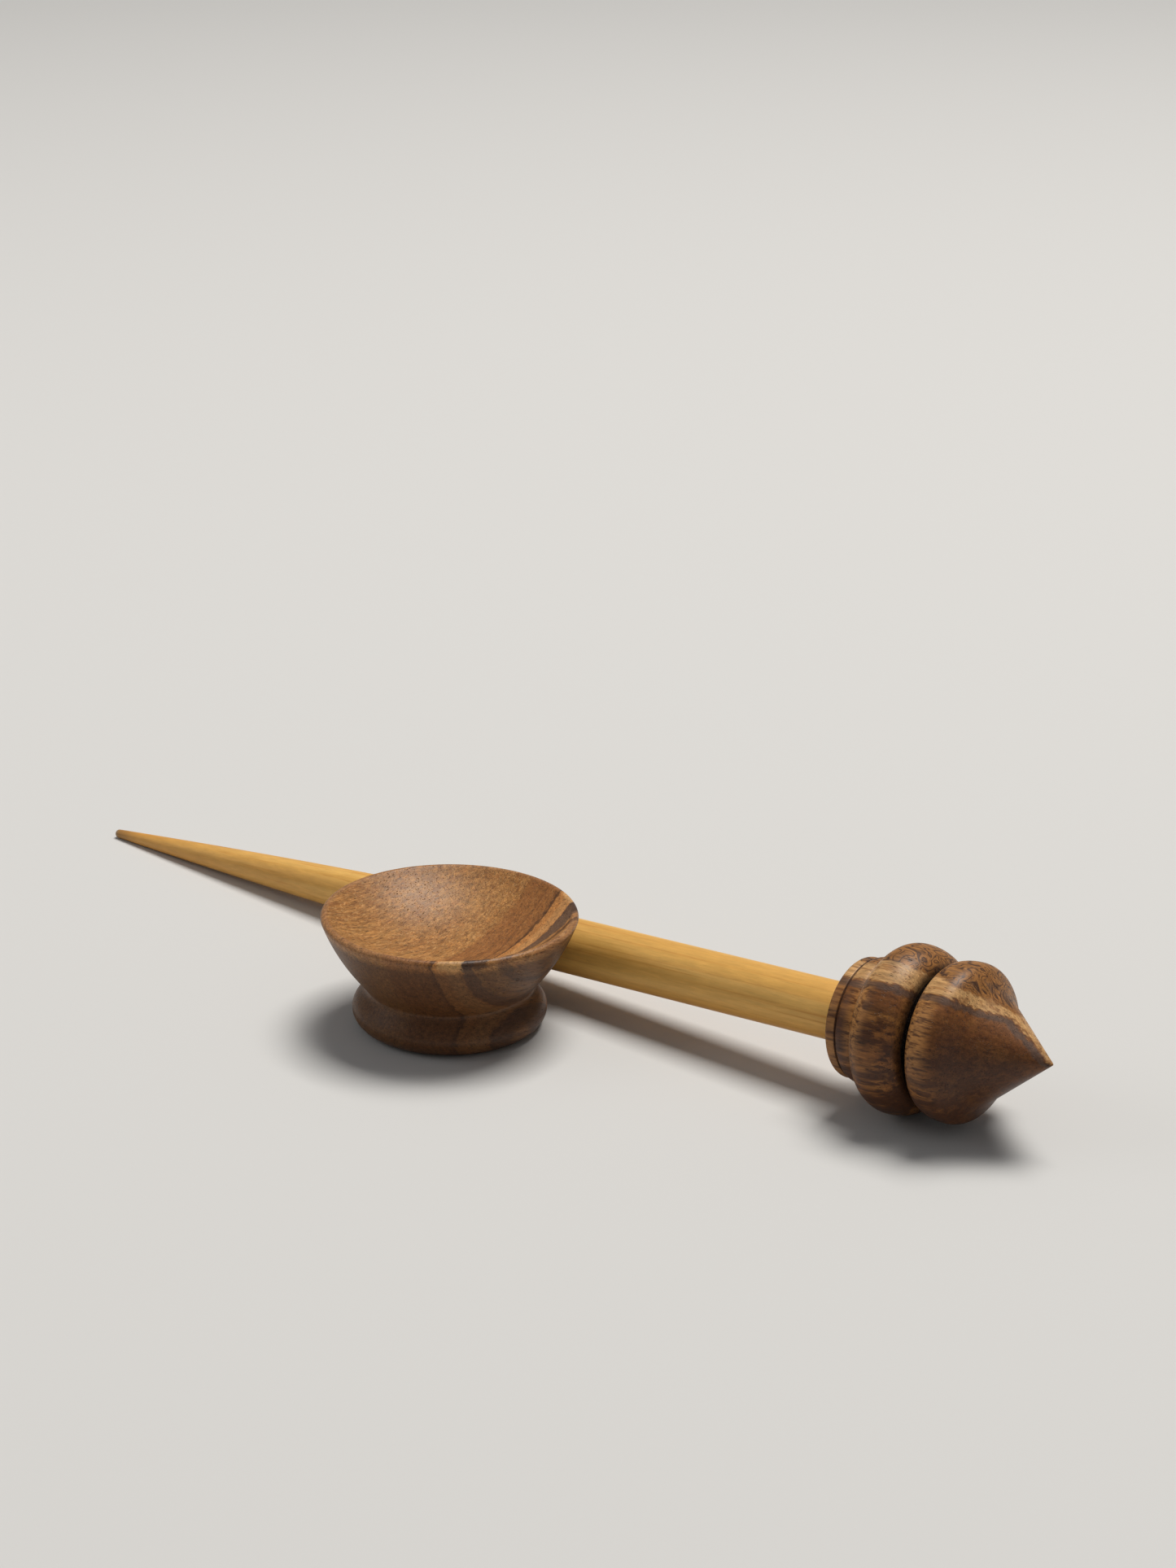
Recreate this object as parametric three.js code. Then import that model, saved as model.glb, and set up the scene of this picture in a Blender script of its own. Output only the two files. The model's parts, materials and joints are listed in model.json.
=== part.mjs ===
// A supported spindle lying behind its spinning bowl, three pieces of turned wood:
// a pale fruitwood shaft, a walnut whorl glued on its thick end, and a walnut bowl.
// Millimetres, +Z up. The bowl stands on Z = 0 with its centre on the Z axis. The spindle
// lies on the same surface, its thin tip towards -X and the whorl's point towards +X.
import * as THREE from 'three';

// Shaft, measured from its thin tip
const SHAFT_LENGTH = 223.2;        // tip to the shoulder that seats on the whorl
const SHAFT_DIAMETER = 12.6;       // the thick stretch that the fingers twirl
const SHAFT_TIP_DIAMETER = 2.0;
const SHAFT_TAPER_LENGTH = 135;    // tip to full thickness
const SHAFT_TAPER_POWER = 1.5;     // above 1, so the taper runs smoothly into the thick stretch
const SHAFT_TIP_ROUNDING = 0.9;    // length of the rounded end
const TENON_DIAMETER = 9;
const TENON_LENGTH = 18;
const GLUE_GAP = 0.3;              // all round the tenon, at its end and at the shoulder

// Whorl, measured from the back face that the shaft seats on
const COLLAR_WIDTH = 2.2;
const COLLAR_DIAMETER = 25.8;
const COLLAR_EDGE_ROUNDING = 0.8;
const LINE_WIDTH = 0.6;            // the fine cut line between collar and small bead
const LINE_DEPTH = 0.5;
const SMALL_BEAD_WIDTH = 4.3;
const SMALL_BEAD_DIAMETER = 27.2;
const NECK_DIAMETER = 25.6;        // the valley between the small and the large bead
const LARGE_BEAD_BACK = 5.0;       // valley to crown
const LARGE_BEAD_FRONT = 6.9;      // crown to groove
const LARGE_BEAD_DIAMETER = 36;
const GROOVE_WIDTH = 2.3;
const GROOVE_BACK_DIAMETER = 27;
const GROOVE_FRONT_DIAMETER = 30.4;
const GROOVE_FLOOR_DIAMETER = 24;
const NOSE_SHOULDER = 4.5;         // groove to the nose's crown
const NOSE_DIAMETER = 33.7;
const NOSE_CURVE_LENGTH = 6.8;     // crown to the start of the straight cone
const NOSE_CURVE_HOLD = 4.1;       // how far the crown's roundness is carried forward
const CONE_LENGTH = 14;
const CONE_DIAMETER = 22.4;
const CONE_HANDLE = 2.6;           // how early the curve turns into the cone
const POINT_DIAMETER = 0.6;
const POINT_ROUNDING = 0.25;

// Bowl
const BOWL_HEIGHT = 25.9;
const BOWL_DIAMETER = 56;
const RIM_THICKNESS = 2.0;
const DISH_DEPTH = 9;              // rim to the lowest point of the dish
const WAIST_DIAMETER = 37.6;
const WAIST_HEIGHT = 9.8;
const FOOT_DIAMETER = 42.7;        // at the bulge
const FOOT_BULGE_HEIGHT = 3.8;
const FOOT_FLAT_DIAMETER = 33.4;   // the flat ring that stands on the table
const WALL_LOWER_FLARE = 0.9;      // outward per unit of height, just above the waist
const WALL_UPPER_FLARE = 0.35;     // the same, just under the rim
const FOOT_CURVE_REACH = 2.9;      // how far up the bulge's roundness is carried
const WAIST_CURVE_REACH = 1.7;     // how far down the wall's slope is carried

// How the two lie
const BOWL_TO_SHAFT_GAP = 0.8;     // clear air between the bowl's side and the shaft

// Facets round each turned piece
const SHAFT_FACETS = 36;
const WHORL_FACETS = 60;
const BOWL_FACETS = 64;

const WHORL_LENGTH = COLLAR_WIDTH + LINE_WIDTH + SMALL_BEAD_WIDTH + LARGE_BEAD_BACK
  + LARGE_BEAD_FRONT + GROOVE_WIDTH + NOSE_SHOULDER + NOSE_CURVE_LENGTH + CONE_LENGTH;
const WHORL_START = SHAFT_LENGTH + GLUE_GAP;
const SPINDLE_LENGTH = WHORL_START + WHORL_LENGTH;

// A profile point: how far out from the axis, and how far along it.
function point(radius, along) {
  return new THREE.Vector2(radius, along);
}

// Quarter of an ellipse from a foot, square to the axis, up to a crown that is level with it.
function rise(footRadius, footAlong, crownRadius, crownAlong, steps) {
  const points = [];
  for (let i = 0; i <= steps; i += 1) {
    const angle = (i / steps) * (Math.PI / 2);
    const radius = footRadius + (crownRadius - footRadius) * Math.sin(angle);
    points.push(point(radius, crownAlong - (crownAlong - footAlong) * Math.cos(angle)));
  }
  return points;
}

// The same quarter read the other way, from the crown down to the foot.
function fall(crownRadius, crownAlong, footRadius, footAlong, steps) {
  return rise(footRadius, footAlong, crownRadius, crownAlong, steps).reverse();
}

// Drops points that repeat the one before them.
function withoutRepeats(points) {
  return points.filter((p, i) => i === 0 || p.distanceTo(points[i - 1]) > 1e-6);
}

function shaftRadius(fromTip) {
  const full = SHAFT_DIAMETER / 2;
  const left = 1 - Math.min(fromTip / SHAFT_TAPER_LENGTH, 1);
  return full - (full - SHAFT_TIP_DIAMETER / 2) * left ** SHAFT_TAPER_POWER;
}

function shaftProfile() {
  const tenonRadius = TENON_DIAMETER / 2;
  const tenonEnd = SHAFT_LENGTH + TENON_LENGTH;
  const taperSteps = 12;
  const points = rise(0, 0, shaftRadius(SHAFT_TIP_ROUNDING), SHAFT_TIP_ROUNDING, 3);
  const taperRun = SHAFT_TAPER_LENGTH - SHAFT_TIP_ROUNDING;
  for (let i = 1; i <= taperSteps; i += 1) {
    const fromTip = SHAFT_TIP_ROUNDING + (taperRun * i) / taperSteps;
    points.push(point(shaftRadius(fromTip), fromTip));
  }
  points.push(point(SHAFT_DIAMETER / 2, SHAFT_LENGTH));
  points.push(point(tenonRadius, SHAFT_LENGTH));
  points.push(point(tenonRadius, tenonEnd));
  points.push(point(0, tenonEnd));
  return points;
}

function whorlProfile() {
  const boreRadius = TENON_DIAMETER / 2 + GLUE_GAP;
  const boreDepth = TENON_LENGTH;
  const collarRadius = COLLAR_DIAMETER / 2;
  const smallCrown = SMALL_BEAD_DIAMETER / 2;
  const neck = NECK_DIAMETER / 2;
  const largeCrown = LARGE_BEAD_DIAMETER / 2;
  const noseCrown = NOSE_DIAMETER / 2;
  const smallStart = COLLAR_WIDTH + LINE_WIDTH;
  const smallMiddle = smallStart + SMALL_BEAD_WIDTH / 2;
  const neckAt = smallStart + SMALL_BEAD_WIDTH;
  const largeCrownAt = neckAt + LARGE_BEAD_BACK;
  const grooveStart = largeCrownAt + LARGE_BEAD_FRONT;
  const grooveEnd = grooveStart + GROOVE_WIDTH;
  const noseCrownAt = grooveEnd + NOSE_SHOULDER;
  const coneStart = noseCrownAt + NOSE_CURVE_LENGTH;
  const coneSlope = (CONE_DIAMETER / 2) / CONE_LENGTH;
  const noseCurve = new THREE.CubicBezierCurve(
    point(noseCrown, noseCrownAt),
    point(noseCrown, noseCrownAt + NOSE_CURVE_HOLD),
    point(CONE_DIAMETER / 2 + coneSlope * CONE_HANDLE, coneStart - CONE_HANDLE),
    point(CONE_DIAMETER / 2, coneStart),
  );
  return withoutRepeats([
    point(0, boreDepth),
    point(boreRadius, boreDepth),
    point(boreRadius, 0),
    ...rise(collarRadius - COLLAR_EDGE_ROUNDING, 0, collarRadius, COLLAR_EDGE_ROUNDING, 2),
    point(collarRadius, COLLAR_WIDTH),
    point(collarRadius - LINE_DEPTH, COLLAR_WIDTH + LINE_WIDTH / 2),
    ...rise(collarRadius, smallStart, smallCrown, smallMiddle, 3),
    ...fall(smallCrown, smallMiddle, neck, neckAt, 3),
    ...rise(neck, neckAt, largeCrown, largeCrownAt, 5),
    ...fall(largeCrown, largeCrownAt, GROOVE_BACK_DIAMETER / 2, grooveStart, 6),
    point(GROOVE_FLOOR_DIAMETER / 2, grooveStart + GROOVE_WIDTH / 4),
    point(GROOVE_FLOOR_DIAMETER / 2, grooveEnd - GROOVE_WIDTH / 4),
    ...rise(GROOVE_FRONT_DIAMETER / 2, grooveEnd, noseCrown, noseCrownAt, 4),
    ...noseCurve.getPoints(7),
    point(POINT_DIAMETER / 2, WHORL_LENGTH - POINT_ROUNDING),
    point(0, WHORL_LENGTH),
  ]);
}

function bowlProfile() {
  const rimRound = RIM_THICKNESS / 2;
  const rimCentre = BOWL_DIAMETER / 2 - rimRound;
  const rimHeight = BOWL_HEIGHT - rimRound;
  const waist = WAIST_DIAMETER / 2;
  const foot = FOOT_DIAMETER / 2;
  const dishFloor = BOWL_HEIGHT - DISH_DEPTH;

  const footCurve = new THREE.CubicBezierCurve(
    point(foot, FOOT_BULGE_HEIGHT),
    point(foot, FOOT_BULGE_HEIGHT + FOOT_CURVE_REACH),
    point(waist - WALL_LOWER_FLARE * WAIST_CURVE_REACH, WAIST_HEIGHT - WAIST_CURVE_REACH),
    point(waist, WAIST_HEIGHT),
  );

  // The wall's control point is where its two end slopes meet.
  const wallRise = rimHeight - WAIST_HEIGHT;
  const wallSpread = BOWL_DIAMETER / 2 - waist;
  const turnHeight = (wallSpread - WALL_UPPER_FLARE * wallRise) / (WALL_LOWER_FLARE - WALL_UPPER_FLARE);
  const wallCurve = new THREE.QuadraticBezierCurve(
    point(waist, WAIST_HEIGHT),
    point(waist + WALL_LOWER_FLARE * turnHeight, WAIST_HEIGHT + turnHeight),
    point(BOWL_DIAMETER / 2, rimHeight),
  );

  // The lip is round from the outer wall over the top to where the dish's slope takes over.
  const lipSteps = 6;
  const lipTurn = Math.PI / 2 + 2 * Math.atan(DISH_DEPTH / rimCentre);
  const lip = [];
  for (let i = 1; i <= lipSteps; i += 1) {
    const angle = (lipTurn * i) / lipSteps;
    lip.push(point(rimCentre + rimRound * Math.cos(angle), rimHeight + rimRound * Math.sin(angle)));
  }

  // The dish is part of a ball that passes through the end of the lip and its own floor.
  const edge = lip[lipSteps - 1];
  const depth = edge.y - dishFloor;
  const ballRadius = (edge.x ** 2 + depth ** 2) / (2 * depth);
  const dishSteps = 9;
  const dish = [];
  for (let i = 1; i <= dishSteps; i += 1) {
    const radius = edge.x * (1 - i / dishSteps);
    dish.push(point(radius, dishFloor + ballRadius - Math.sqrt(ballRadius ** 2 - radius ** 2)));
  }

  return withoutRepeats([
    point(0, 0),
    ...rise(FOOT_FLAT_DIAMETER / 2, 0, foot, FOOT_BULGE_HEIGHT, 5),
    ...footCurve.getPoints(6),
    ...wallCurve.getPoints(6),
    ...lip,
    ...dish,
  ]);
}

function turned(name, profile, facets, colour, roughness) {
  const material = new THREE.MeshStandardMaterial({ color: colour, roughness, metalness: 0 });
  const mesh = new THREE.Mesh(new THREE.LatheGeometry(profile, facets), material);
  mesh.name = name;
  return mesh;
}

// Lathe geometry turns round +Y. The spindle's pieces are laid over so that it points to +X.
function spindlePiece(name, profile, facets, colour, roughness, start) {
  const mesh = turned(name, profile, facets, colour, roughness);
  mesh.rotation.z = -Math.PI / 2;
  mesh.position.x = start;
  return mesh;
}

// The spindle touches the table with the end of its tip and with the one crown of the whorl
// that needs the steepest tilt, which is the large bead's.
function layingTilt() {
  const tipRadius = shaftRadius(SHAFT_TIP_ROUNDING);
  const tilts = whorlProfile().map((p) => {
    const span = WHORL_START + p.y - SHAFT_TIP_ROUNDING;
    return Math.atan2(p.x - tipRadius, span);
  });
  return Math.max(...tilts);
}

// Height of the tip's centre above the table.
function tipHeight(tilt) {
  return shaftRadius(SHAFT_TIP_ROUNDING) * Math.cos(tilt) - SHAFT_TIP_ROUNDING * Math.sin(tilt);
}

// How far behind the bowl's centre the spindle's axis lies, so that the shaft just clears it.
function asideOfBowl(tilt) {
  const axisHeight = tipHeight(tilt) + (SPINDLE_LENGTH / 2) * Math.sin(tilt);
  const reach = shaftRadius(SPINDLE_LENGTH / 2) + BOWL_TO_SHAFT_GAP;
  const aside = bowlProfile().map((p) => {
    const drop = Math.min(Math.abs(p.y - axisHeight), reach);
    return p.x + Math.sqrt(reach ** 2 - drop ** 2);
  });
  return Math.max(...aside);
}

const WALNUT = 0x7d5636;
const FRUITWOOD = 0xd9a35c;

const bowl = turned('bowl', bowlProfile(), BOWL_FACETS, WALNUT, 0.5);
bowl.rotation.x = Math.PI / 2;

const tilt = layingTilt();
const spindle = new THREE.Group();
spindle.add(spindlePiece('shaft', shaftProfile(), SHAFT_FACETS, FRUITWOOD, 0.4, 0));
spindle.add(spindlePiece('whorl', whorlProfile(), WHORL_FACETS, WALNUT, 0.5, WHORL_START));
spindle.rotation.y = -tilt;
spindle.position.set(-(SPINDLE_LENGTH / 2) * Math.cos(tilt), asideOfBowl(tilt), tipHeight(tilt));

const model = new THREE.Group();
model.add(bowl, spindle);

export default model;
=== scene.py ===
# The looks of a supported spindle and its spinning bowl: a turned fruitwood shaft, a turned
# walnut whorl and a turned walnut bowl, each finished in oil.
import json
import math

import bpy
from mathutils import Euler, Matrix, Vector


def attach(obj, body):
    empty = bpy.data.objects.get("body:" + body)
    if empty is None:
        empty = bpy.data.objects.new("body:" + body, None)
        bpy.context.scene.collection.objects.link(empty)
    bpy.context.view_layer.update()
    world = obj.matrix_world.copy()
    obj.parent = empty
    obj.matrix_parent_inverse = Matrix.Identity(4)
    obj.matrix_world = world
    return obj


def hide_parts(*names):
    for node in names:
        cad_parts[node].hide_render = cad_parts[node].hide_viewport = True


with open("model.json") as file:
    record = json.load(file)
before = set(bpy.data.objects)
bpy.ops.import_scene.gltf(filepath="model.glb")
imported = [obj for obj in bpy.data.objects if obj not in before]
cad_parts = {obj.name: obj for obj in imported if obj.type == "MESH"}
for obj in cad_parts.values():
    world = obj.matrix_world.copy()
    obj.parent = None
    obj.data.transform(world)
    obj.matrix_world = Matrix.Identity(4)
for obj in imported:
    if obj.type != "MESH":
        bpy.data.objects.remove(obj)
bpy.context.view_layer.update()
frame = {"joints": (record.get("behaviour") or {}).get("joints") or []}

MM = 0.001

# A run, below, is how far a curve keeps to its first or last direction.

# Shaft, in millimetres; places are counted from its thin tip
SHAFT_LENGTH = 223.2
SHAFT_RADIUS = 6.3
TIP_RADIUS = 1.0
TAPER_LENGTH = 135.0
TAPER_POWER = 1.5
TIP_ROUNDING = 0.9
TAPER_RINGS = 44
TAPER_CROWDING = 1.3
TENON_RADIUS = 4.5
TENON_LENGTH = 18.0
TENON_CHAMFER = 0.6
GLUE_LINE = 0.12

# Whorl, in millimetres; places are counted from the shaft's tip
WHORL_BACK = SHAFT_LENGTH + GLUE_LINE
COLLAR_END = 225.7
COLLAR_RADIUS = 12.9
COLLAR_EDGE = 0.9
LINE_END = 226.3
LINE_DEPTH = 0.45
NECK = 230.6
NECK_RADIUS = 12.8
SMALL_BEAD_RADIUS = 13.6
LARGE_CROWN = 235.6
LARGE_BEAD_RADIUS = 18.0
GROOVE_START = 242.5
GROOVE_END = 244.8
GROOVE_BACK_RADIUS = 13.5
GROOVE_FRONT_RADIUS = 15.2
GROOVE_FLOOR_RADIUS = 12.0
GROOVE_CORNER = 0.5
NOSE_CROWN = 249.3
NOSE_RADIUS = 16.85
NOSE_RUN = 4.1
CONE_START = 256.1
CONE_RADIUS = 11.2
CONE_RUN = 2.6
POINT_END = 270.1
POINT_RADIUS = 0.35
POINT_LAST_RING = math.radians(80)  # how far up the point's ball

# Bowl, in millimetres; heights are counted from its foot
BOWL_RADIUS = 28.0
BOWL_HEIGHT = 25.9
LIP_ROUND = 1.0
DISH_FLOOR = 16.9
DISH_RINGS = 30
WALL_KNEE_RADIUS = 25.05
WALL_KNEE_HEIGHT = 16.74
WALL_KNEE_PULL = 2 / 3
WAIST_RADIUS = 18.8
WAIST_HEIGHT = 9.8
WAIST_RUN = (-1.53, -1.7)
FOOT_RADIUS = 21.35
FOOT_BULGE = 3.8
FOOT_RUN = 2.9
FOOT_FLAT_RADIUS = 16.7

# How finely each piece is turned, and how far its sharp corners are eased, in millimetres
SHAFT_FACETS, SHAFT_EDGE = 96, 0.15
WHORL_FACETS, WHORL_EDGE = 160, 0.16
BOWL_FACETS, BOWL_EDGE = 176, 0.2
EDGE_STEPS = 3
SHARP_CORNER = math.radians(32)
SMOOTH_CORNER = math.radians(40)

# The rings around which an end closes and the closest that two rings may lie, in millimetres
SHAFT_END_RING = 0.12
END_RING = 0.15
RING_GAP = 1e-4

# How near two corners of the mesh are one corner, in metres
SAME_PLACE = 1e-7

SPIN = frame["joints"][0]
SPINDLE_TIP = Vector(SPIN["pos_m"])
SPINDLE_AXIS = Vector(SPIN["axis"]).normalized()
SPINDLE_TILT = math.atan2(SPINDLE_AXIS.z, SPINDLE_AXIS.x)


# ---------------------------------------------------------------- turning

def swell(foot, crown, steps):
    """A quarter of an ellipse that leaves the foot square to the axis and is level at the crown."""
    points = []
    for step in range(steps + 1):
        angle = math.pi / 2 * step / steps
        out = foot[0] + (crown[0] - foot[0]) * math.sin(angle)
        points.append((out, crown[1] - (crown[1] - foot[1]) * math.cos(angle)))
    return points


def settle(crown, foot, steps):
    """The same quarter from the crown down to the foot."""
    return swell(foot, crown, steps)[::-1]


def sweep(start, lead, trail, end, steps):
    """A smooth curve from start to end that sets off towards lead and comes in from trail."""
    points = []
    for step in range(steps + 1):
        t = step / steps
        weights = ((1 - t) ** 3, 3 * t * (1 - t) ** 2, 3 * t * t * (1 - t), t ** 3)
        pairs = list(zip(weights, (start, lead, trail, end)))
        points.append((sum(w * p[0] for w, p in pairs), sum(w * p[1] for w, p in pairs)))
    return points


def straight(start, end, steps):
    """Evenly spaced rings between two places."""
    points = []
    for step in range(steps + 1):
        t = step / steps
        points.append((start[0] + (end[0] - start[0]) * t, start[1] + (end[1] - start[1]) * t))
    return points


def towards(start, aim, share):
    """The place that lies a share of the way from start to aim."""
    return tuple(a + (b - a) * share for a, b in zip(start, aim))


def rounded(centre, radius, start, end, steps):
    """Rings on part of a circle, between two angles measured up from level."""
    points = []
    for step in range(steps + 1):
        angle = start + (end - start) * step / steps
        points.append((centre[0] + radius * math.cos(angle), centre[1] + radius * math.sin(angle)))
    return points


def turn(name, outline, facets, edge_round):
    """Turns a piece upright: a disc is drawn out ring by ring along the outline, closed at its
    far end, and its sharp corners are eased."""
    rings = [outline[0]]
    for ring in outline[1:]:
        if abs(ring[0] - rings[-1][0]) + abs(ring[1] - rings[-1][1]) > RING_GAP:
            rings.append(ring)
    bpy.ops.object.select_all(action="DESELECT")
    bpy.ops.mesh.primitive_circle_add(
        vertices=facets, radius=rings[0][0] * MM, fill_type="TRIFAN",
        location=(0, 0, rings[0][1] * MM))
    piece = bpy.context.object
    piece.name = name
    bpy.ops.object.transform_apply(location=True, rotation=True, scale=True)
    bpy.ops.object.mode_set(mode="EDIT")
    bpy.ops.mesh.select_all(action="SELECT")
    for before, after in zip(rings, rings[1:]):
        rise = (0, 0, (after[1] - before[1]) * MM)
        bpy.ops.mesh.extrude_region_move(TRANSFORM_OT_translate={"value": rise})
        grow = after[0] / before[0]
        bpy.ops.transform.resize(
            value=(grow, grow, 1), center_override=(0, 0, after[1] * MM))
    bpy.ops.mesh.select_all(action="SELECT")
    bpy.ops.mesh.remove_doubles(threshold=SAME_PLACE)
    bpy.ops.mesh.normals_make_consistent(inside=False)
    bpy.ops.object.mode_set(mode="OBJECT")
    ease = piece.modifiers.new("eased edges", "BEVEL")
    ease.limit_method = "ANGLE"
    ease.angle_limit = SHARP_CORNER
    ease.width = edge_round * MM
    ease.segments = EDGE_STEPS
    bpy.ops.object.modifier_apply(modifier=ease.name)
    bpy.ops.object.shade_smooth_by_angle(angle=SMOOTH_CORNER)
    return piece


def lay_on_spindle(piece):
    """Lays an upright piece along the spindle's axis and leaves its place in its mesh."""
    bpy.ops.object.select_all(action="DESELECT")
    piece.select_set(True)
    bpy.context.view_layer.objects.active = piece
    piece.rotation_euler = (0, math.pi / 2 - SPINDLE_TILT, 0)
    piece.location = SPINDLE_TIP
    bpy.ops.object.transform_apply(location=True, rotation=True, scale=True)


def shaft_radius(from_tip):
    left = 1 - min(from_tip / TAPER_LENGTH, 1)
    return SHAFT_RADIUS - (SHAFT_RADIUS - TIP_RADIUS) * left ** TAPER_POWER


def shaft_outline():
    shoulder = (SHAFT_RADIUS, SHAFT_LENGTH)
    tenon_end = SHAFT_LENGTH + TENON_LENGTH
    tip = swell((SHAFT_END_RING, 0), (shaft_radius(TIP_ROUNDING), TIP_ROUNDING), steps=8)
    taper = []
    for ring in range(1, TAPER_RINGS + 1):
        share = (ring / TAPER_RINGS) ** TAPER_CROWDING
        place = TIP_ROUNDING + (TAPER_LENGTH - TIP_ROUNDING) * share
        taper.append((shaft_radius(place), place))
    thick = straight((SHAFT_RADIUS, TAPER_LENGTH), shoulder, steps=12)
    tenon = straight(
        (TENON_RADIUS, SHAFT_LENGTH), (TENON_RADIUS, tenon_end - TENON_CHAMFER), steps=4)
    end = [(TENON_RADIUS - TENON_CHAMFER, tenon_end), (SHAFT_END_RING, tenon_end)]
    return tip + taper + thick + tenon + end


def whorl_outline():
    bore = TENON_RADIUS + GLUE_LINE
    bore_floor = WHORL_BACK + TENON_LENGTH
    line_middle = (COLLAR_END + LINE_END) / 2
    small_middle = (LINE_END + NECK) / 2
    cone_slope = CONE_RADIUS / (POINT_END - CONE_START)
    curve_end = (CONE_RADIUS, CONE_START)
    ball = (0, POINT_END - POINT_RADIUS)
    point = rounded(ball, POINT_RADIUS, math.atan(cone_slope), POINT_LAST_RING, steps=6)
    return (
        [(END_RING, bore_floor), (bore, bore_floor), (bore, WHORL_BACK)]
        + swell(
            (COLLAR_RADIUS - COLLAR_EDGE, WHORL_BACK),
            (COLLAR_RADIUS, WHORL_BACK + COLLAR_EDGE), steps=6)
        + [(COLLAR_RADIUS, COLLAR_END), (COLLAR_RADIUS - LINE_DEPTH, line_middle)]
        + swell((COLLAR_RADIUS, LINE_END), (SMALL_BEAD_RADIUS, small_middle), steps=8)
        + settle((SMALL_BEAD_RADIUS, small_middle), (NECK_RADIUS, NECK), steps=8)
        + swell((NECK_RADIUS, NECK), (LARGE_BEAD_RADIUS, LARGE_CROWN), steps=18)
        + settle((LARGE_BEAD_RADIUS, LARGE_CROWN), (GROOVE_BACK_RADIUS, GROOVE_START), steps=20)
        + [(GROOVE_FLOOR_RADIUS, GROOVE_START + GROOVE_CORNER),
           (GROOVE_FLOOR_RADIUS, GROOVE_END - GROOVE_CORNER)]
        + swell((GROOVE_FRONT_RADIUS, GROOVE_END), (NOSE_RADIUS, NOSE_CROWN), steps=14)
        + sweep(
            (NOSE_RADIUS, NOSE_CROWN), (NOSE_RADIUS, NOSE_CROWN + NOSE_RUN),
            (CONE_RADIUS + cone_slope * CONE_RUN, CONE_START - CONE_RUN), curve_end, steps=24)
        + straight(curve_end, point[0], steps=18)
        + point
    )


def bowl_outline():
    foot = (FOOT_RADIUS, FOOT_BULGE)
    waist = (WAIST_RADIUS, WAIST_HEIGHT)
    waist_lead = (WAIST_RADIUS + WAIST_RUN[0], WAIST_HEIGHT + WAIST_RUN[1])
    knee = (WALL_KNEE_RADIUS, WALL_KNEE_HEIGHT)
    lip_centre = (BOWL_RADIUS - LIP_ROUND, BOWL_HEIGHT - LIP_ROUND)
    wall_end = (BOWL_RADIUS, lip_centre[1])
    lip_turn = math.pi / 2 + 2 * math.atan((BOWL_HEIGHT - DISH_FLOOR) / lip_centre[0])
    lip = rounded(lip_centre, LIP_ROUND, 0, lip_turn, steps=12)
    edge, depth = lip[-1][0], lip[-1][1] - DISH_FLOOR
    ball_radius = (edge ** 2 + depth ** 2) / (2 * depth)
    wall_low = towards(waist, knee, WALL_KNEE_PULL)
    wall_high = towards(wall_end, knee, WALL_KNEE_PULL)
    dish = []
    for step in range(1, DISH_RINGS + 1):
        out = edge * (1 - step / DISH_RINGS) + END_RING
        dish.append((out, DISH_FLOOR + ball_radius - math.sqrt(ball_radius ** 2 - out ** 2)))
    return (
        [(END_RING, 0), (FOOT_FLAT_RADIUS / 2, 0)]
        + swell((FOOT_FLAT_RADIUS, 0), foot, steps=14)
        + sweep(foot, (FOOT_RADIUS, FOOT_BULGE + FOOT_RUN), waist_lead, waist, steps=18)
        + sweep(waist, wall_low, wall_high, wall_end, steps=22)
        + lip
        + dish
    )


# ---------------------------------------------------------------- finishes

class Level:
    """A number that varies over a surface. Arithmetic on levels adds its own nodes."""

    def __init__(self, finish, socket):
        self.finish = finish
        self.socket = socket

    def __add__(self, other):
        return self.finish.maths("ADD", self, other)

    def __radd__(self, other):
        return self.finish.maths("ADD", other, self)

    def __sub__(self, other):
        return self.finish.maths("SUBTRACT", self, other)

    def __rsub__(self, other):
        return self.finish.maths("SUBTRACT", other, self)

    def __mul__(self, other):
        return self.finish.maths("MULTIPLY", self, other)

    def __rmul__(self, other):
        return self.finish.maths("MULTIPLY", other, self)

    def __truediv__(self, other):
        return self.finish.maths("DIVIDE", self, other)


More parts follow.
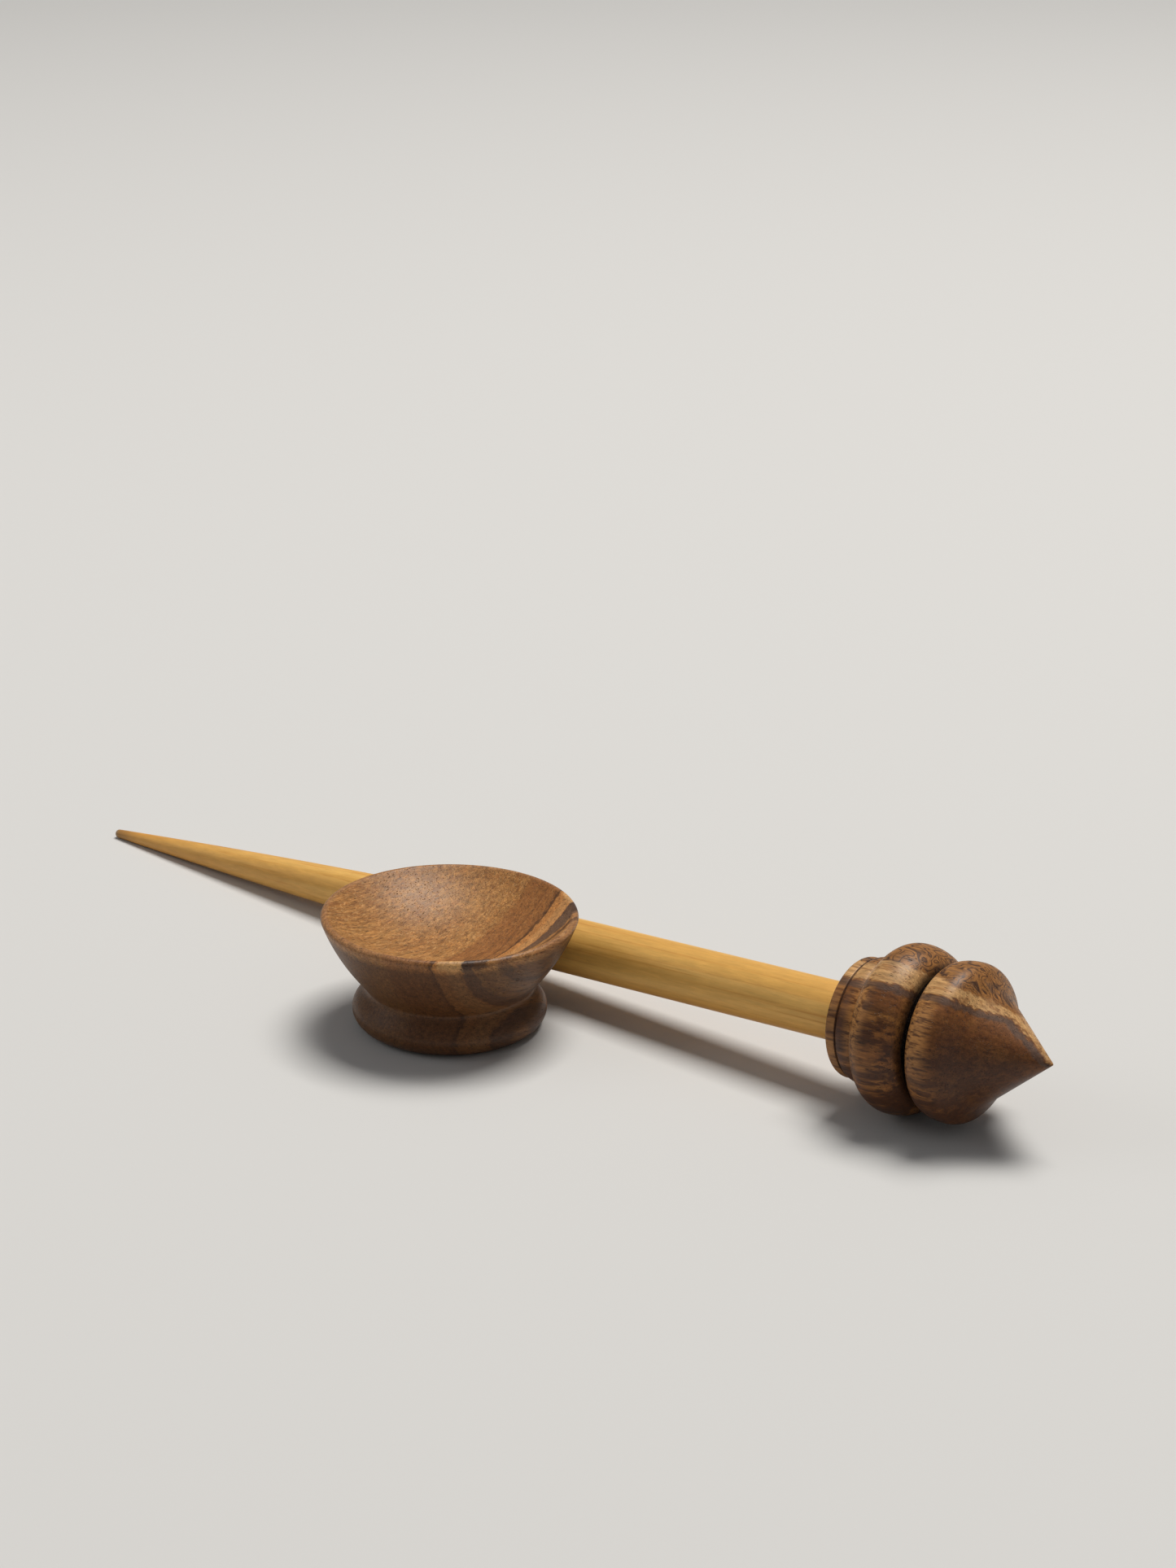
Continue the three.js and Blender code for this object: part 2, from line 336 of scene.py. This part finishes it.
class Finish:
    """One surface's material, with the few kinds of node that wood grain is made of."""

    VESSEL_MOUTH = 0.45
    OPEN_VESSELS = 0.35

    def __init__(self, name):
        self.material = bpy.data.materials.new(name)
        self.material.use_nodes = True
        self.tree = self.material.node_tree
        self.shader = self.tree.nodes["Principled BSDF"]

    def node(self, kind, settings=None, sockets=None):
        made = self.tree.nodes.new(kind)
        for key, setting in (settings or {}).items():
            setattr(made, key, setting)
        for key, value in (sockets or {}).items():
            if isinstance(value, Level):
                value = value.socket
            if isinstance(value, bpy.types.NodeSocket):
                self.tree.links.new(value, made.inputs[key])
            else:
                made.inputs[key].default_value = value
        return made

    def maths(self, operation, first, second=0.0):
        made = self.node("ShaderNodeMath", {"operation": operation}, {0: first, 1: second})
        return Level(self, made.outputs[0])

    def larger(self, first, second):
        return self.maths("MAXIMUM", first, second)

    def smaller(self, first, second):
        return self.maths("MINIMUM", first, second)

    def distance(self, level, place):
        """How far the level is from a place, whichever side of it."""
        return self.maths("ABSOLUTE", level - place)

    def ramp(self, level, low, high, at_low=0.0, at_high=1.0):
        """Goes smoothly from at_low to at_high while the level goes from low to high."""
        made = self.node(
            "ShaderNodeMapRange", {"interpolation_type": "SMOOTHSTEP"},
            {0: level, 1: low, 2: high, 3: at_low, 4: at_high})
        return Level(self, made.outputs[0])

    def band(self, level, low, high, soft):
        """One between low and high, falling to nothing over the soft distance outside."""
        return self.ramp(level, low - soft, low) * self.ramp(level, high, high + soft, 1.0, 0.0)

    def mix(self, amount, first, second):
        made = self.node(
            "ShaderNodeMix", {"data_type": "RGBA", "clamp_factor": True},
            {0: amount, 6: first, 7: second})
        return made.outputs[2]

    def shaded(self, colour, amount):
        """The colour made lighter or darker by the amount, which is one where nothing changes."""
        grey = self.node("ShaderNodeCombineXYZ", None, {0: amount, 1: amount, 2: amount})
        made = self.node(
            "ShaderNodeVectorMath", {"operation": "MULTIPLY"}, {0: colour, 1: grey.outputs[0]})
        return made.outputs[0]

    def grain_frame(self, middle, along, out):
        """Millimetres from the middle: first along the grain, then across it, then through
        the growth rings."""
        along = along.normalized()
        out = (out - along * out.dot(along)).normalized()
        across = out.cross(along)
        turned = Matrix((along, across, out)).transposed().to_euler()
        where = self.node("ShaderNodeTexCoord")
        placed = self.node(
            "ShaderNodeMapping", {"vector_type": "TEXTURE"},
            {"Vector": where.outputs["Object"], "Location": middle, "Rotation": turned})
        return self.stretched(placed.outputs[0], (1 / MM, 1 / MM, 1 / MM))

    def stretched(self, vector, amounts):
        made = self.node(
            "ShaderNodeVectorMath", {"operation": "MULTIPLY"}, {0: vector, 1: amounts})
        return made.outputs[0]

    def parts(self, vector):
        made = self.node("ShaderNodeSeparateXYZ", None, {0: vector})
        return [Level(self, socket) for socket in made.outputs]

    def noise(self, vector, sizes, detail, roughness, bend, seed):
        scaled = self.stretched(vector, [1 / size for size in sizes])
        moved = self.node(
            "ShaderNodeVectorMath", {"operation": "ADD"}, {0: scaled, 1: (seed, seed * 0.7, -seed)})
        made = self.node(
            "ShaderNodeTexNoise", None,
            {"Vector": moved.outputs[0], "Scale": 1.0, "Detail": detail, "Roughness": roughness,
             "Distortion": bend})
        return Level(self, made.outputs["Fac"])

    def cloud(self, vector, sizes, seed, detail=2.0, roughness=0.5):
        """Soft uneven patches of about the given sizes, around one half."""
        return self.noise(vector, sizes, detail, roughness, bend=0.0, seed=seed)

    def waver(self, vector, sizes, amount, seed, detail=2.0):
        """A cloud that moves an edge to either side, by up to about half the amount."""
        return (self.cloud(vector, sizes, seed, detail) - 0.5) * amount

    def squiggles(self, vector, sizes, seed, width, bend):
        """Thin lines that wander and curl."""
        level = self.noise(vector, sizes, detail=1.5, roughness=0.5, bend=bend, seed=seed)
        return self.ramp(self.distance(level, 0.5), 0.0, width, 1.0, 0.0)

    def curls(self, vector, sizes, seed, count, width):
        """Close thin lines that curl around each other, like the figure over a knot."""
        noise = self.noise(vector, sizes, detail=1.0, roughness=0.5, bend=0.7, seed=seed)
        level = self.maths("FRACT", noise * count)
        return self.ramp(self.distance(level, 0.5), 0.0, width, 1.0, 0.0)

    def vessels(self, vector, sizes, seed, width, share):
        """Open pores: short threads along the grain, dots on end grain. The share is how many
        of the threads are there, the first of them open and the last nearly closed."""
        scaled = self.stretched(vector, [1 / size for size in sizes])
        moved = self.node(
            "ShaderNodeVectorMath", {"operation": "ADD"}, {0: scaled, 1: (seed, -seed, seed * 0.3)})
        made = self.node("ShaderNodeTexVoronoi", None, {"Vector": moved.outputs[0], "Scale": 1.0})
        near = Level(self, made.outputs["Distance"])
        chance = self.node("ShaderNodeSeparateColor", None, {0: made.outputs["Color"]})
        chance = Level(self, chance.outputs[0])
        kept = self.ramp(chance, share * self.OPEN_VESSELS, share, 1.0, 0.0)
        return self.ramp(near, width * self.VESSEL_MOUTH, width, 1.0, 0.0) * kept

    def finish(self, colour, roughness, height, depth):
        """Oils the wood: its colour, its sheen and how deep its grain stands open."""
        bump = self.node(
            "ShaderNodeBump", None, {"Strength": 1.0, "Distance": depth * MM, "Height": height})
        links = self.tree.links
        links.new(colour, self.shader.inputs["Base Color"])
        links.new(roughness.socket, self.shader.inputs["Roughness"])
        links.new(bump.outputs[0], self.shader.inputs["Normal"])
        self.shader.inputs["Specular IOR Level"].default_value = OIL_GLOSS
        return self.material


# Colours of the woods, as red, green and blue light
BOWL_LIGHT = (0.405, 0.190, 0.053, 1)
BOWL_BROWN = (0.325, 0.140, 0.036, 1)
BOWL_FLECK = (0.560, 0.320, 0.130, 1)
BOWL_THREAD = (0.190, 0.066, 0.017, 1)
BOWL_RED_BROWN = (0.235, 0.084, 0.021, 1)
# Partly darker wood, partly painted shade on the bowl's outside
BOWL_DARK_WOOD_AND_SHADE = (0.072, 0.029, 0.012, 1)
BOWL_LIP = (0.290, 0.138, 0.066, 1)
WHORL_LIGHT = (0.270, 0.112, 0.027, 1)
# Tan wood, also painted light on the whorl's shoulders that face the shaft
WHORL_TAN = (0.470, 0.215, 0.062, 1)
WHORL_BROWN = (0.190, 0.068, 0.017, 1)
# Heartwood, also painted shade on the whorl's lower front
WHORL_HEART_AND_SHADE = (0.062, 0.020, 0.007, 1)
STREAK_DARK = (0.045, 0.018, 0.009, 1)
STREAK_GREY = (0.085, 0.052, 0.038, 1)
PORE = (0.030, 0.012, 0.006, 1)
SAPWOOD = (0.535, 0.302, 0.120, 1)
SAPWOOD_BROWN = (0.340, 0.165, 0.058, 1)
SAPWOOD_ORANGE = (0.460, 0.190, 0.052, 1)
CHARRED = (0.006, 0.003, 0.002, 1)
SCORCHED = (0.050, 0.019, 0.008, 1)
HONEY = (0.670, 0.355, 0.080, 1)
HONEY_PALE = (0.780, 0.455, 0.122, 1)
# Also painted shade on the shaft's underside
HONEY_ORANGE = (0.540, 0.228, 0.042, 1)
TIP_BROWN = (0.230, 0.120, 0.045, 1)
TIP_GREY = (0.300, 0.240, 0.170, 1)

OIL_GLOSS = 0.30

# Sizes of walnut's markings, in millimetres along the grain, across it and through its rings
PATCHES = (34, 10, 8)
STROKES = (13, 1.7, 1.3)
BRUSH = (6, 0.75, 0.75)
HAIR = (2.2, 0.28, 0.28)
TINY_PORES = (2.4, 0.30, 0.30)
SMALL_PORES = (5.5, 0.52, 0.52)
LONG_PORES = (14.0, 1.10, 1.10)
PORE_DARKNESS = 0.88
BRUSH_SHADING = 1.5
HAIR_SHADING = 1.1
WALNUT_SATIN = 0.36
WALNUT_DEPTH = 0.08


def walnut_ground(wood, grain, light, brown, dark):
    """Walnut's ground: broad patches of two browns, with darker and paler strokes along the
    grain. The brush and the hair, its finer grain, are handed on for the surface."""
    patches = wood.cloud(grain, PATCHES, seed=11.0, detail=3.0, roughness=0.55)
    strokes = wood.cloud(grain, STROKES, seed=6.6, detail=4.0, roughness=0.62)
    brush = wood.cloud(grain, BRUSH, seed=1.9, detail=3.0, roughness=0.65)
    hair = wood.cloud(grain, HAIR, seed=5.3, detail=2.0, roughness=0.6)
    colour = wood.mix(wood.ramp(patches, 0.36, 0.64), light, brown)
    colour = wood.mix(wood.ramp(strokes, 0.50, 0.66) * 0.50, colour, dark)
    colour = wood.mix(wood.ramp(strokes, 0.34, 0.47, 0.40, 0.0), colour, light)
    return colour, brush, hair


def walnut_pores(wood, grain, share):
    """Three sizes of pore, the larger ones fewer and darker."""
    tiny = wood.vessels(grain, TINY_PORES, seed=2.0, width=0.30, share=share)
    small = wood.vessels(grain, SMALL_PORES, seed=5.0, width=0.22, share=share)
    long = wood.vessels(grain, LONG_PORES, seed=9.0, width=0.12, share=share)
    return wood.larger(wood.larger(tiny * 0.65, small * 0.85), long)


def walnut_surface(wood, colour, pores, brush, hair):
    """Brushes the grain over everything, darkens the pores and gives the oiled surface its
    satin and its open grain."""
    shading = 1.0 + (brush - 0.5) * BRUSH_SHADING + (hair - 0.5) * HAIR_SHADING
    colour = wood.shaded(colour, shading)
    colour = wood.mix(pores * PORE_DARKNESS, colour, PORE)
    roughness = WALNUT_SATIN + brush * 0.16 + pores * 0.2
    height = hair * 0.16 + brush * 0.12 - pores
    return wood.finish(colour, roughness, height, WALNUT_DEPTH)


# The bowl's block: which way its grain and its rings lie, and the sizes of its own markings
BOWL_MIDDLE = Vector((0, 0, 0))
BOWL_GRAIN = Vector((-0.09, 1, -0.27))
BOWL_RINGS = Vector((1, 0.09, 0))
RIGHT = Vector((1, 0, 0))
UP = Vector((0, 0, 1))
BOWL_WORMS = (1.9, 0.75, 0.75)
BOWL_THREADS = (5.5, 0.9, 0.9)
BOWL_MOTTLE = (3.5, 1.1, 1.1)
BOWL_DRIFT = (40, 14, 10)
BOWL_FEATHER = (9, 1.0, 1.0)

# The bowl's streaks, from and to, in millimetres to the right of its middle
REDDISH_WOOD = (4.0, 12.6)
DARK_LINE = (13.1, 13.4)
ORANGE_STREAK = (13.9, 18.3)
PALE_CORE = (16.0, 17.6)
GREY_STREAK_START = 18.6
GREY_STREAK_FRONT_END = 20.3
GREY_STREAK_BACK_END = 22.9
GREY_STREAK_WIDENS = (-2.0, 12.0)  # in millimetres behind the bowl's middle
OUTER_LINE = (24.2, 24.9)
RING_SPACING = 2.9
PALE_LIP = (14.6, 18.4)
DARK_LIP = (18.9, 22.0)

# The bowl's lip in millimetres from its middle, and the dome that parts the dish from the wall
LIP_INSIDE = 26.1
LIP_TOP = 27.2
DOME_MIDDLE = 10.0
DOME_RISE = 0.018


def bowl_walnut():
    """The bowl's block: the grain runs front to back and dips, so its pores are dashes at the
    front of the dish and dots at the back. Streaks stand side by side towards its right."""
    wood = Finish("oiled walnut of the bowl")
    grain = wood.grain_frame(BOWL_MIDDLE, BOWL_GRAIN, BOWL_RINGS)
    side, behind, height = wood.parts(wood.grain_frame(BOWL_MIDDLE, RIGHT, UP))
    out = wood.parts(grain)[2]
    colour, brush, hair = walnut_ground(wood, grain, BOWL_LIGHT, BOWL_BROWN, BOWL_RED_BROWN)

    # Flecks, dark threads and mottling all over
    worms = wood.squiggles(grain, BOWL_WORMS, seed=3.7, width=0.045, bend=0.9)
    colour = wood.mix(worms * 0.55, colour, BOWL_FLECK)
    threads = wood.squiggles(grain, BOWL_THREADS, seed=12.6, width=0.025, bend=0.3)
    colour = wood.mix(threads * 0.70, colour, BOWL_THREAD)
    mottle = wood.cloud(grain, BOWL_MOTTLE, seed=21.4, detail=3.0, roughness=0.65)
    colour = wood.shaded(colour, 0.5 + mottle)

    # Streaks, whose edges wander and are feathered
    drift = wood.waver(grain, BOWL_DRIFT, amount=3.0, seed=4.2)
    feather = wood.waver(grain, BOWL_FEATHER, amount=1.6, seed=8.8, detail=3.0)
    place = out + drift + feather
    reddened = wood.band(place, *REDDISH_WOOD, soft=2.2)
    colour = wood.mix(reddened * (0.35 + mottle * 0.7), colour, BOWL_RED_BROWN)
    rings = wood.maths("FRACT", (out + drift * 2.2 + feather * 0.5) / RING_SPACING)
    ring_lines = wood.band(rings, 0.46, 0.54, soft=0.16) * wood.ramp(place, 4.0, 11.0, 0.04, 0.30)
    colour = wood.mix(ring_lines, colour, STREAK_DARK)
    colour = wood.mix(wood.band(place, *ORANGE_STREAK, soft=0.35) * 0.80, colour, SAPWOOD_ORANGE)
    colour = wood.mix(wood.band(place, *PALE_CORE, soft=0.9) * 0.35, colour, SAPWOOD)
    colour = wood.mix(wood.band(place, *DARK_LINE, soft=0.30) * 0.70, colour, STREAK_DARK)
    grey_end = wood.ramp(
        behind, *GREY_STREAK_WIDENS, GREY_STREAK_FRONT_END, GREY_STREAK_BACK_END)
    grey = wood.band(place, GREY_STREAK_START, grey_end, soft=0.45) * (0.55 + brush * 0.45)
    colour = wood.mix(grey, colour, STREAK_GREY)
    colour = wood.mix(wood.band(place, *OUTER_LINE, soft=0.50) * 0.65, colour, STREAK_DARK)

    # Darker outside, partly darker wood and partly painted shade on the outer wall and foot, and a
    # lip where the streaks come out again
    reach = side * side + behind * behind
    above_wall = height - (reach * DOME_RISE + DOME_MIDDLE)
    outside = wood.ramp(above_wall, -0.8, 0.6, 1.0, 0.0)
    colour = wood.mix(outside * 0.78, colour, BOWL_DARK_WOOD_AND_SHADE)
    lip = wood.ramp(reach, LIP_INSIDE ** 2, LIP_TOP ** 2) * wood.ramp(above_wall, -0.2, 0.8)
    colour = wood.mix(lip * wood.ramp(place, 9.0, 14.0, 0.45, 0.0), colour, BOWL_LIP)
    colour = wood.mix(lip * wood.band(place, *PALE_LIP, soft=0.5) * 0.7, colour, SAPWOOD)
    colour = wood.mix(lip * wood.band(place, *DARK_LIP, soft=0.4) * 0.75, colour, STREAK_DARK)
    colour = wood.mix(lip * wood.ramp(place, 22.0, 23.5) * 0.4, colour, BOWL_LIP)

    pores = walnut_pores(wood, grain, wood.ramp(place, 1.0, 9.0, 0.85, 1.10))
    return walnut_surface(wood, colour, pores, brush, hair)


# Directions across the spindle: level, and square to it in the upright plane
ACROSS_SPINDLE = Vector((0, 1, 0))
ABOVE_SPINDLE = Vector((-SPINDLE_AXIS.z, 0, SPINDLE_AXIS.x))

# The whorl's block: which way its rings lie, and the sizes of its own markings
WHORL_RINGS = ACROSS_SPINDLE * 0.568 + ABOVE_SPINDLE * 0.823
WHORL_DRIFT = (18, 9, 7)
WHORL_FEATHER = (5, 0.9, 0.9)
HEART_BANDS = (46, 3.4, 2.6)
HEART_STRIPES = (19, 1.6, 1.2)
SHOULDER_DASHES = (3.6, 0.85, 0.85)
CURLS = (5.6, 3.9, 3.9)
CURL_COUNT = 7.5

# Places on the whorl, in millimetres from the shaft's tip
BEAD_SHOULDER = (230.5, 233.5)
NOSE_SHOULDER = (244.5, 248.0)
NOSE_DARKENS = (247.5, 254.0)
STREAK_SINKS = (245.0, 252.0)
STREAK_NARROWS = (255.0, 261.0)

# Levels in the whorl's block, in millimetres from the spindle's axis through the rings
HEARTWOOD_AND_SHADE_LEVELS = (-5.0, 4.5)
TAN_AND_LIGHT_LEVELS = (-15.0, -4.0)
CURLED_LEVELS = (7.5, 10.0)
SMOKY_LEVELS = (9.8, 11.5)
STREAK_LEVEL, STREAK_LOW_LEVEL = 7.95, 7.1
STREAK_HALF, STREAK_THIN_HALF = 2.1, 1.1
STREAK_POINT_SHARE = 0.42
STREAK_ON_CONE = 0.93


def whorl_walnut():
    """The whorl's block: grain along the spindle, a streak of sapwood down to the point, a
    grey band under it, curled figure above it, darker heartwood below that is darkened
    further as painted shade on the lower front, tan shoulders lightened as painted light
    from the shaft's side, and a groove burnt black."""
    wood = Finish("oiled walnut of the whorl")
    grain = wood.grain_frame(SPINDLE_TIP, SPINDLE_AXIS, WHORL_RINGS)
    along, _, out = wood.parts(grain)
    colour, brush, hair = walnut_ground(wood, grain, WHORL_LIGHT, WHORL_BROWN, WHORL_HEART_AND_SHADE)
    drift = wood.waver(grain, WHORL_DRIFT, amount=1.1, seed=8.4)
    feather = wood.waver(grain, WHORL_FEATHER, amount=2.2, seed=3.3, detail=3.0)
    level = out + drift + feather

    # Banded heartwood, which takes over the nose towards its point; on the lower front it is also
    # painted shade, darker than the wood alone
    bands = wood.cloud(grain, HEART_BANDS, seed=14.2, detail=3.0, roughness=0.55)
    stripes = wood.cloud(grain, HEART_STRIPES, seed=17.3, detail=3.0, roughness=0.6)
    below = wood.ramp(level, *HEARTWOOD_AND_SHADE_LEVELS, 1.0, 0.1)
    banded = wood.larger(wood.ramp(bands, 0.42, 0.55), wood.ramp(stripes, 0.49, 0.60))
    deep = wood.larger(banded, wood.ramp(along, *NOSE_DARKENS, 0.0, 0.82))
    colour = wood.mix(below * deep * 0.94, colour, WHORL_HEART_AND_SHADE)

    # Tan end grain on the shoulders that face the shaft and the groove, lightened as painted light
    # from the shaft's side, and a tan collar
    bead_shoulder = wood.band(along, *BEAD_SHOULDER, soft=3.0)
    shoulders = bead_shoulder + wood.band(along, *NOSE_SHOULDER, soft=3.5)
    tan_grain_and_light = shoulders * wood.ramp(brush, 0.34, 0.54) * wood.ramp(level, *TAN_AND_LIGHT_LEVELS)
    colour = wood.mix(tan_grain_and_light * 0.80, colour, WHORL_TAN)
    dashes = wood.vessels(grain, SHOULDER_DASHES, seed=31.0, width=0.30, share=0.75)
    colour = wood.mix(shoulders * dashes * 0.75, colour, STREAK_DARK)
    collar = wood.band(along, WHORL_BACK, COLLAR_END, soft=0.2) * wood.ramp(stripes, 0.36, 0.56)
    colour = wood.mix(collar * 0.55, colour, WHORL_TAN)

    # Curled figure over the crowns
    curls = wood.curls(grain, CURLS, seed=7.1, count=CURL_COUNT, width=0.30)
    curls = curls * wood.ramp(brush, 0.30, 0.48)
    curled = wood.ramp(level, *CURLED_LEVELS)
    colour = wood.mix(curled * (0.40 + wood.ramp(stripes, 0.40, 0.56) * 0.5), colour, WHORL_LIGHT)
    colour = wood.mix(curled * 0.20, colour, WHORL_TAN)
    smoky = wood.band(level, *SMOKY_LEVELS, soft=1.2) * wood.ramp(bands, 0.44, 0.56)
    colour = wood.mix(smoky * 0.60, colour, STREAK_GREY)
    colour = wood.mix(curls * curled * 0.95, colour, STREAK_DARK)

    # The streak of sapwood: it follows the cone down and thins out towards the point
    cone_radius = (POINT_END - along) * (CONE_RADIUS / (POINT_END - CONE_START))
    shallow = wood.ramp(along, *STREAK_SINKS, STREAK_LEVEL, STREAK_LOW_LEVEL)
    middle = wood.smaller(cone_radius * STREAK_ON_CONE, shallow)
    half = wood.ramp(along, *STREAK_SINKS, STREAK_HALF, STREAK_THIN_HALF)
    half = half * wood.ramp(along, *STREAK_NARROWS, 1.0, STREAK_POINT_SHARE)
    gap = level - middle
    streak = wood.ramp(gap + half, -0.35, 0.25) * wood.ramp(gap - half, -0.3, 0.7, 1.0, 0.0)
    grey = wood.ramp(gap + half, -2.3, -1.5) * wood.ramp(gap + half, -0.8, -0.1, 1.0, 0.0)
    colour = wood.mix(grey * 0.75, colour, STREAK_GREY)
    sap = wood.mix(wood.ramp(stripes, 0.48, 0.66), SAPWOOD, SAPWOOD_BROWN)
    colour = wood.mix(streak * 0.92, colour, sap)

    # The line cut between collar and small bead, and the groove, burnt black and scorched beside
    from_groove = wood.distance(along, (GROOVE_START + GROOVE_END) / 2)
    half_groove = (GROOVE_END - GROOVE_START) / 2
    scorch = wood.ramp(from_groove, half_groove, half_groove + 0.7, 1.0, 0.0)
    char = wood.ramp(from_groove, half_groove - 0.15, half_groove + 0.12, 1.0, 0.0)
    line = wood.band(along, COLLAR_END + 0.05, LINE_END - 0.05, soft=0.12)
    colour = wood.mix(line * 0.7, colour, STREAK_DARK)
    colour = wood.mix(scorch * 0.6, colour, SCORCHED)
    colour = wood.mix(char, colour, CHARRED)

    pores = walnut_pores(wood, grain, 0.65)
    return walnut_surface(wood, colour, pores, brush, hair)


# Sizes of the shaft's markings, in millimetres along the grain, across it and through its rings
SHAFT_BROAD = (160, 3.2, 3.2)
SHAFT_STREAKS = (70, 0.8, 0.8)
SHAFT_HAIR = (7, 0.14, 0.14)
SHAFT_MOTTLE = (5.0, 0.8, 0.8)
SHAFT_FLECKS = (3.0, 0.26, 0.26)
FRUITWOOD_SATIN = 0.38
FRUITWOOD_DEPTH = 0.02

# Places on the shaft, in millimetres from its thin tip
WORN_TIP = (1.0, 10.0)
BLUNT_END = (0.4, 1.8)
ORANGE_TAPER = (4.0, 95.0)


def shaft_fruitwood():
    """Pale, close-grained fruitwood with long orange streaks and a worn, greyer tip."""
    wood = Finish("oiled fruitwood of the shaft")
    grain = wood.grain_frame(SPINDLE_TIP, SPINDLE_AXIS, ABOVE_SPINDLE - ACROSS_SPINDLE * 0.4)
    along, _, out = wood.parts(grain)
    broad = wood.cloud(grain, SHAFT_BROAD, seed=2.2)
    streaks = wood.cloud(grain, SHAFT_STREAKS, seed=6.1, detail=3.0, roughness=0.6)
    hair = wood.cloud(grain, SHAFT_HAIR, seed=12.0, detail=2.0, roughness=0.6)
    colour = wood.mix(wood.ramp(broad, 0.35, 0.66), HONEY_PALE, HONEY)
    colour = wood.mix(wood.ramp(streaks, 0.54, 0.72) * 0.60, colour, HONEY_ORANGE)
    # Painted shade: the shaft's underside, away from the light, is mixed towards a darker orange
    colour = wood.mix(wood.ramp(out, -5.5, 3.0, 0.50, 0.0), colour, HONEY_ORANGE)
    colour = wood.mix(wood.ramp(along, *ORANGE_TAPER, 0.45, 0.0), colour, HONEY_ORANGE)
    mottle = wood.cloud(grain, SHAFT_MOTTLE, seed=9.2, detail=3.0, roughness=0.6)
    colour = wood.shaded(colour, 1.0 + (mottle - 0.5) * 0.45 + (hair - 0.5) * 0.25)
    flecks = wood.vessels(grain, SHAFT_FLECKS, seed=5.0, width=0.24, share=0.40)
    colour = wood.mix(flecks * 0.35, colour, HONEY_ORANGE)
    colour = wood.mix(wood.ramp(along, *WORN_TIP, 0.60, 0.0), colour, TIP_BROWN)
    colour = wood.mix(wood.ramp(along, *BLUNT_END, 0.65, 0.0), colour, TIP_GREY)
    roughness = FRUITWOOD_SATIN + streaks * 0.14
    height = hair * 0.4 - flecks * 0.6
    return wood.finish(colour, roughness, height, FRUITWOOD_DEPTH)


# ---------------------------------------------------------------- pieces

def make_pieces():
    shaft = turn("turned_shaft", shaft_outline(), SHAFT_FACETS, SHAFT_EDGE)
    lay_on_spindle(shaft)
    whorl = turn("turned_whorl", whorl_outline(), WHORL_FACETS, WHORL_EDGE)
    lay_on_spindle(whorl)
    bowl = turn("turned_bowl", bowl_outline(), BOWL_FACETS, BOWL_EDGE)
    for piece, material, body, node, slot in (
            (shaft, shaft_fruitwood(), "spindle", "shaft", "fruitwood"),
            (whorl, whorl_walnut(), "spindle", "whorl", "walnut_whorl"),
            (bowl, bowl_walnut(), "bowl", "bowl", "walnut_bowl")):
        piece.data.materials.clear()
        piece.data.materials.append(material)
        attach(piece, body)
        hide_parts(node)


# ---------------------------------------------------------------- studio

PAPER = (0.62, 0.61, 0.59, 1)
PAPER_ROUGHNESS = 0.9
FLOOR_SIZE = 12

# Lights and camera, in metres, watts and degrees
AIM = (0, 0.015, 0.02)
WARM = (1.0, 0.98, 0.95)
COOL = (0.95, 0.97, 1.0)
AIR_BRIGHTNESS = 0.18
SOFT_LIGHTS = (
    # name, place, size, power, tint
    ("overhead_light", (0.06, 1.0, 3.0), 1.5, 102.0, WARM),
    ("side_fill", (-0.9, -0.7, 0.7), 0.8, 1.8, COOL),
)
LENS = 74.73
CAMERA_PLACE = (0.42675, -0.49227, 0.30104)
CAMERA_PITCH = math.radians(20.64)
CAMERA_HEADING = math.radians(128.32)
CAMERA_ROLL = math.radians(0.865)


def make_floor():
    bpy.ops.object.select_all(action="DESELECT")
    bpy.ops.mesh.primitive_plane_add(size=FLOOR_SIZE, location=(0, 0, 0))
    floor = bpy.context.object
    floor.name = "studio_floor"
    paper = Finish("pale studio paper")
    paper.shader.inputs["Base Color"].default_value = PAPER
    paper.shader.inputs["Roughness"].default_value = PAPER_ROUGHNESS
    floor.data.materials.append(paper.material)


def add_soft_light(name, place, size, power, tint):
    lamp = bpy.data.lights.new(name, "AREA")
    lamp.shape = "SQUARE"
    lamp.size = size
    lamp.energy = power
    lamp.color = tint
    holder = bpy.data.objects.new(name, lamp)
    bpy.context.scene.collection.objects.link(holder)
    holder.location = place
    holder.rotation_euler = (Vector(AIM) - Vector(place)).to_track_quat("-Z", "Y").to_euler()


def make_light():
    for light in SOFT_LIGHTS:
        add_soft_light(*light)
    world = bpy.data.worlds.new("studio_air")
    bpy.context.scene.world = world
    world.use_nodes = True
    air = world.node_tree.nodes["Background"]
    air.inputs["Color"].default_value = (*COOL, 1)
    air.inputs["Strength"].default_value = AIR_BRIGHTNESS


def make_camera():
    view = bpy.data.cameras.new("camera")
    view.lens = LENS
    holder = bpy.data.objects.new("camera", view)
    bpy.context.scene.collection.objects.link(holder)
    level = Euler((math.pi / 2 - CAMERA_PITCH, 0, CAMERA_HEADING - math.pi / 2)).to_matrix()
    facing = level @ Matrix.Rotation(CAMERA_ROLL, 3, "Z")
    holder.rotation_euler = facing.to_euler()
    holder.location = CAMERA_PLACE
    bpy.context.scene.camera = holder


make_camera()
make_light()
make_floor()
make_pieces()
bpy.context.scene.view_settings.view_transform = "Standard"
